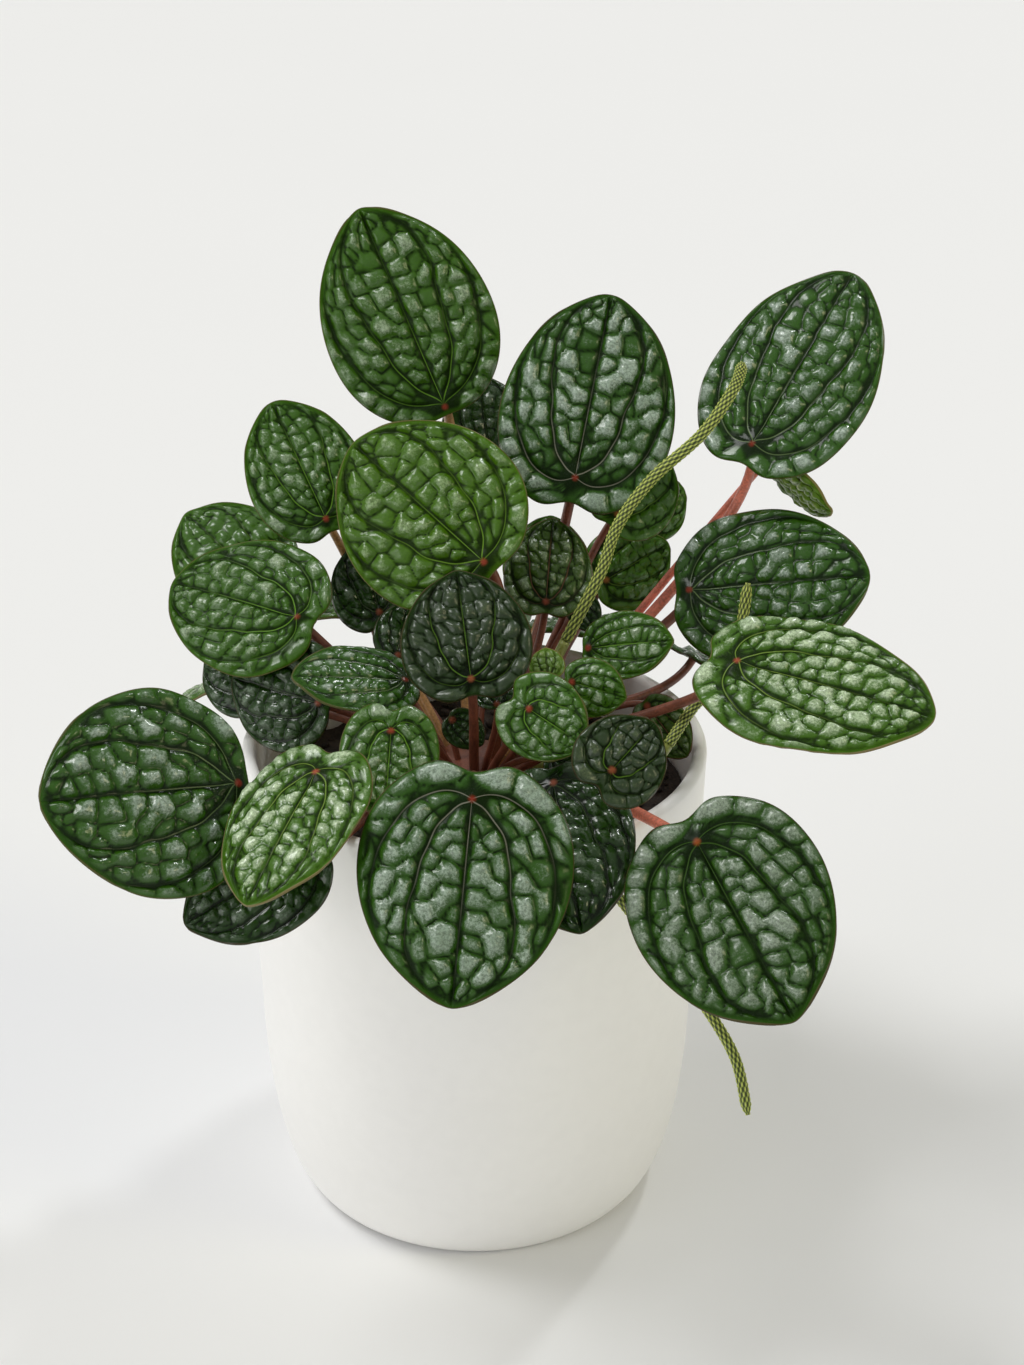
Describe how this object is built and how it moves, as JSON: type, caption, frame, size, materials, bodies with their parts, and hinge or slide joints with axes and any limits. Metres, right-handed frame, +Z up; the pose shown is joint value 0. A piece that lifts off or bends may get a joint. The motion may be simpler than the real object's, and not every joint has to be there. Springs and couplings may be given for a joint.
{
  "type": "ripple peperomia in a pot",
  "caption": "Ripple-leaved peperomia with puckered heart-shaped leaves on brown stalks and slim flower spikes, growing in a plain white round-footed pot.",
  "frame": {"origin": "centre of the pot's flat base, on the pot's axis", "axes": "+Z up along the pot's axis; -Y towards the side that the picture shows; +X to the right in the picture"},
  "size_m": [0.2208, 0.2337, 0.2693],
  "materials": {
    "pot_white": "smooth matt white glaze",
    "soil_dark": "rough dark crumbs",
    "stalk_brown": "smooth fleshy stalk, faintly speckled",
    "leaf_green": "waxy, puckered, half gloss",
    "spike_green": "finely grained, dull"
  },
  "bodies": {
    "root": {"pot": "pot_white", "soil": "soil_dark", "crown": "stalk_brown", "leaf_behind_centre": "leaf_green", "leaf_bright_back": "leaf_green", "leaf_centre_dark": "leaf_green", "leaf_centre_right": "leaf_green", "leaf_centre_upper": "leaf_green", "leaf_curled_young": "leaf_green", "leaf_front_centre": "leaf_green", "leaf_front_dark": "leaf_green", "leaf_front_left_light": "leaf_green", "leaf_front_right": "leaf_green", "leaf_glossy_small": "leaf_green", "leaf_heart_left": "leaf_green", "leaf_left_behind": "leaf_green", "leaf_left_big": "leaf_green", "leaf_left_dark": "leaf_green", "leaf_left_low": "leaf_green", "leaf_left_mid": "leaf_green", "leaf_left_sliver": "leaf_green", "leaf_left_small": "leaf_green", "leaf_left_upper": "leaf_green", "leaf_mid_brown": "leaf_green", "leaf_mid_left_dark": "leaf_green", "leaf_rear_far_left": "leaf_green", "leaf_rear_far_right": "leaf_green", "leaf_rear_left": "leaf_green", "leaf_rear_low": "leaf_green", "leaf_rear_mid": "leaf_green", "leaf_rear_right": "leaf_green", "leaf_right_edge_on": "leaf_green", "leaf_right_inner_far": "leaf_green", "leaf_right_inner_high": "leaf_green", "leaf_right_inner_low": "leaf_green", "leaf_right_low": "leaf_green", "leaf_right_mid": "leaf_green", "leaf_right_of_centre": "leaf_green", "leaf_right_small": "leaf_green", "leaf_right_top": "leaf_green", "leaf_rim_front": "leaf_green", "leaf_rim_right": "leaf_green", "leaf_tiny_dark": "leaf_green", "leaf_top_centre": "leaf_green", "leaf_top_gap": "leaf_green", "leaf_top_left": "leaf_green", "leaf_under_centre": "leaf_green", "leaf_young_yellow": "leaf_green", "spike_hanging": "spike_green", "spike_right": "spike_green", "spike_tall": "spike_green"}
  },
  "joints": []
}
